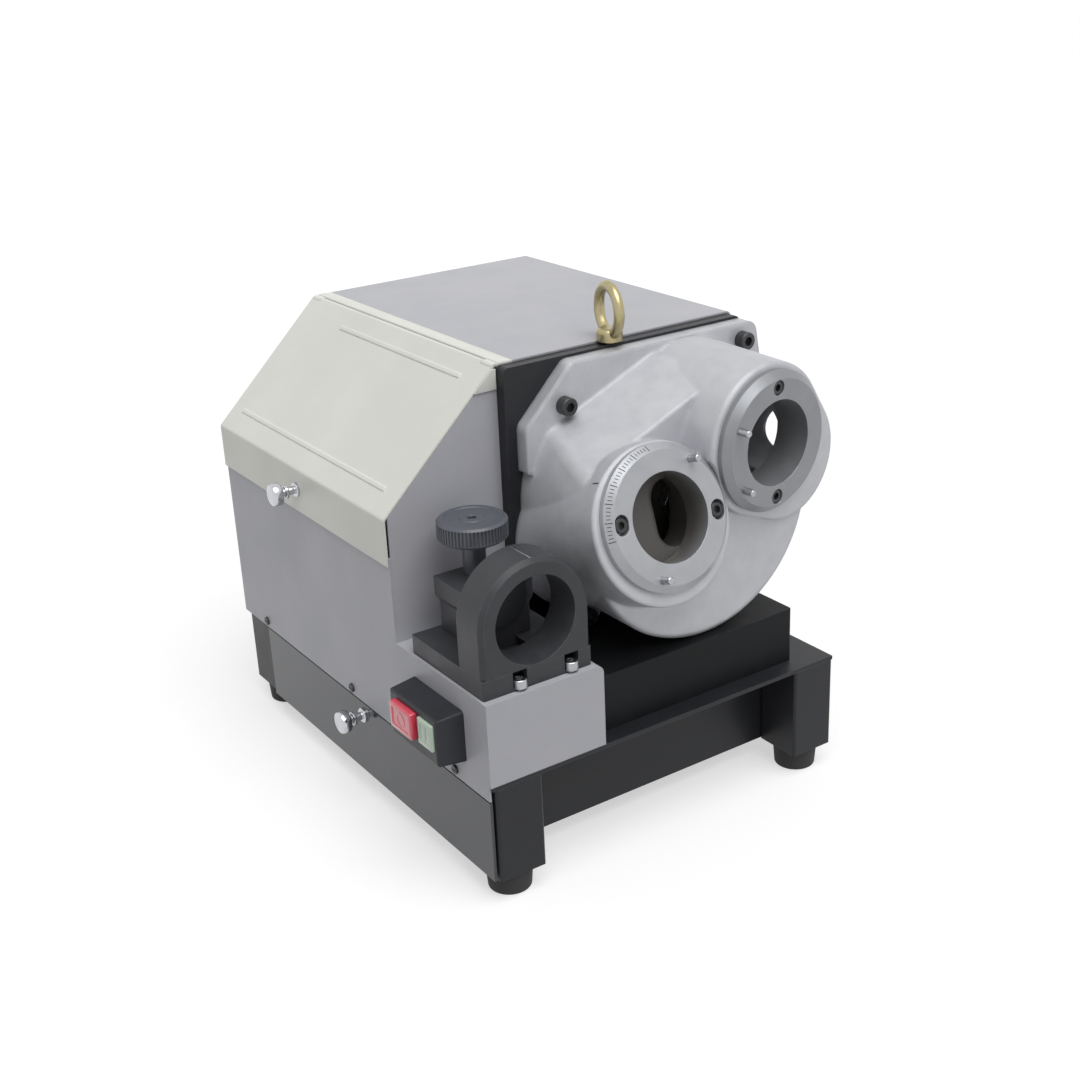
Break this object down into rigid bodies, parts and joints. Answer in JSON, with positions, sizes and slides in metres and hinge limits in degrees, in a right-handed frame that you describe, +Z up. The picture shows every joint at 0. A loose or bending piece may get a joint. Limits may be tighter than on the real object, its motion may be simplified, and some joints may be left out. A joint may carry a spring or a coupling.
{
  "type": "endmill grinder",
  "caption": "Bench endmill grinder with a cast grinding head, angled tool ports, a tool setting fixture, a hinged side lid and a base drawer.",
  "frame": {"origin": "on the floor under the middle of the whole object's box", "axes": "+Z up, -Y out of the front where the tool ports are, +X to the right seen from the front"},
  "size_m": [0.3386, 0.4176, 0.373],
  "materials": {
    "grey_paint": "semi-gloss grey paint on sheet steel",
    "ivory_paint": "semi-gloss ivory paint on sheet steel",
    "black_paint": "semi-gloss black paint",
    "gloss_black": "gloss black paint",
    "cast_aluminium": "as-cast aluminium with machined faces",
    "machined_steel": "turned steel",
    "black_steel": "black oxide steel",
    "chrome": "bright chrome plating",
    "zinc": "yellow zinc plating",
    "cast_iron_black": "black painted cast iron",
    "rubber": "matt black rubber",
    "black_plastic": "satin black plastic",
    "red_plastic": "glossy red plastic",
    "green_plastic": "glossy pale green plastic",
    "motor_metal": "die-cast motor frame",
    "core_steel": "laminated core",
    "abrasive": "bonded abrasive"
  },
  "bodies": {
    "frame": {"base_deck": "black_paint", "post_front_left": "black_paint", "post_front_right": "black_paint", "post_rear_left": "black_paint", "post_rear_right": "black_paint", "rubber_feet": "rubber", "front_apron": "black_paint", "rear_apron": "black_paint", "right_apron": "black_paint", "left_panel": "grey_paint", "panel_screws": "black_steel", "front_panel": "grey_paint", "rear_panel": "grey_paint", "hood_cover": "grey_paint", "tool_tray": "grey_paint", "hinge_leaf": "grey_paint", "hinge_pin": "machined_steel", "fixture_bracket": "grey_paint", "riser_block": "cast_iron_black", "mounting_plate": "black_paint", "head_casting": "cast_aluminium", "plate_bolts": "black_steel", "port_2_ring": "machined_steel", "port_2_pins": "machined_steel", "port_screws": "black_steel", "lifting_eye": "zinc", "motor_front_bell": "motor_metal", "motor_rear_bell": "motor_metal", "motor_frame": "motor_metal", "stator": "core_steel", "front_bearing": "machined_steel", "rear_bearing": "machined_steel", "terminal_box": "black_plastic", "start_capacitor": "black_plastic", "cable_gland": "black_plastic", "switch_housing": "black_plastic", "contact_block": "black_plastic", "setting_base": "black_steel", "setting_screws": "machined_steel", "setting_block": "black_steel"},
    "spindle": {"spindle_shaft": "machined_steel", "rotor": "core_steel", "motor_fan": "black_plastic", "abrasive_rim": "abrasive", "wheel_body": "motor_metal", "wheel_hub": "machined_steel", "wheel_nut": "machined_steel"},
    "lid": {"lid": "ivory_paint", "lid_knob": "chrome"},
    "drawer": {"drawer_tray": "grey_paint", "drawer_front": "gloss_black", "drawer_knob": "chrome"},
    "stop_button": {"stop_button": "red_plastic"},
    "start_button": {"start_button": "green_plastic"},
    "stop_slide": {"stop_slide": "black_steel", "stop_pad": "black_plastic"},
    "lock_knob": {"lock_knob": "black_plastic"},
    "port_1_ring": {"port_1_ring": "machined_steel", "port_1_pins": "machined_steel"}
  },
  "joints": [
    {"name": "spindle_turn", "type": "hinge", "parent": "frame", "child": "spindle", "pos_m": [0.05072, -0.14022, 0.228], "axis": [0, -1, 0], "continuous": true},
    {"name": "lid_swing", "type": "hinge", "parent": "frame", "child": "lid", "pos_m": [-0.05228, -0.07172, 0.328], "axis": [0, 1, 0], "range_deg": [0, 85]},
    {"name": "drawer_pull", "type": "slide", "parent": "frame", "child": "drawer", "axis": [-1, 0, 0], "range_m": [0, 0.17]},
    {"name": "stop_press", "type": "slide", "parent": "frame", "child": "stop_button", "axis": [1, 0, 0], "range_m": [0, 0.003], "stiffness_N_per_m": 400},
    {"name": "start_press", "type": "slide", "parent": "frame", "child": "start_button", "axis": [1, 0, 0], "range_m": [0, 0.003], "stiffness_N_per_m": 400},
    {"name": "stop_adjust", "type": "slide", "parent": "frame", "child": "stop_slide", "axis": [0, 1, 0], "range_m": [-0.009, 0.008]},
    {"name": "lock_turn", "type": "hinge", "parent": "stop_slide", "child": "lock_knob", "pos_m": [-0.09828, -0.10622, 0.2045], "axis": [0, 0, 1], "continuous": true},
    {"name": "ring_swing", "type": "hinge", "parent": "frame", "child": "port_1_ring", "pos_m": [0.00532, -0.18622, 0.2404], "axis": [0, -0.9455, 0.3256], "range_deg": [-2, 2]}
  ]
}
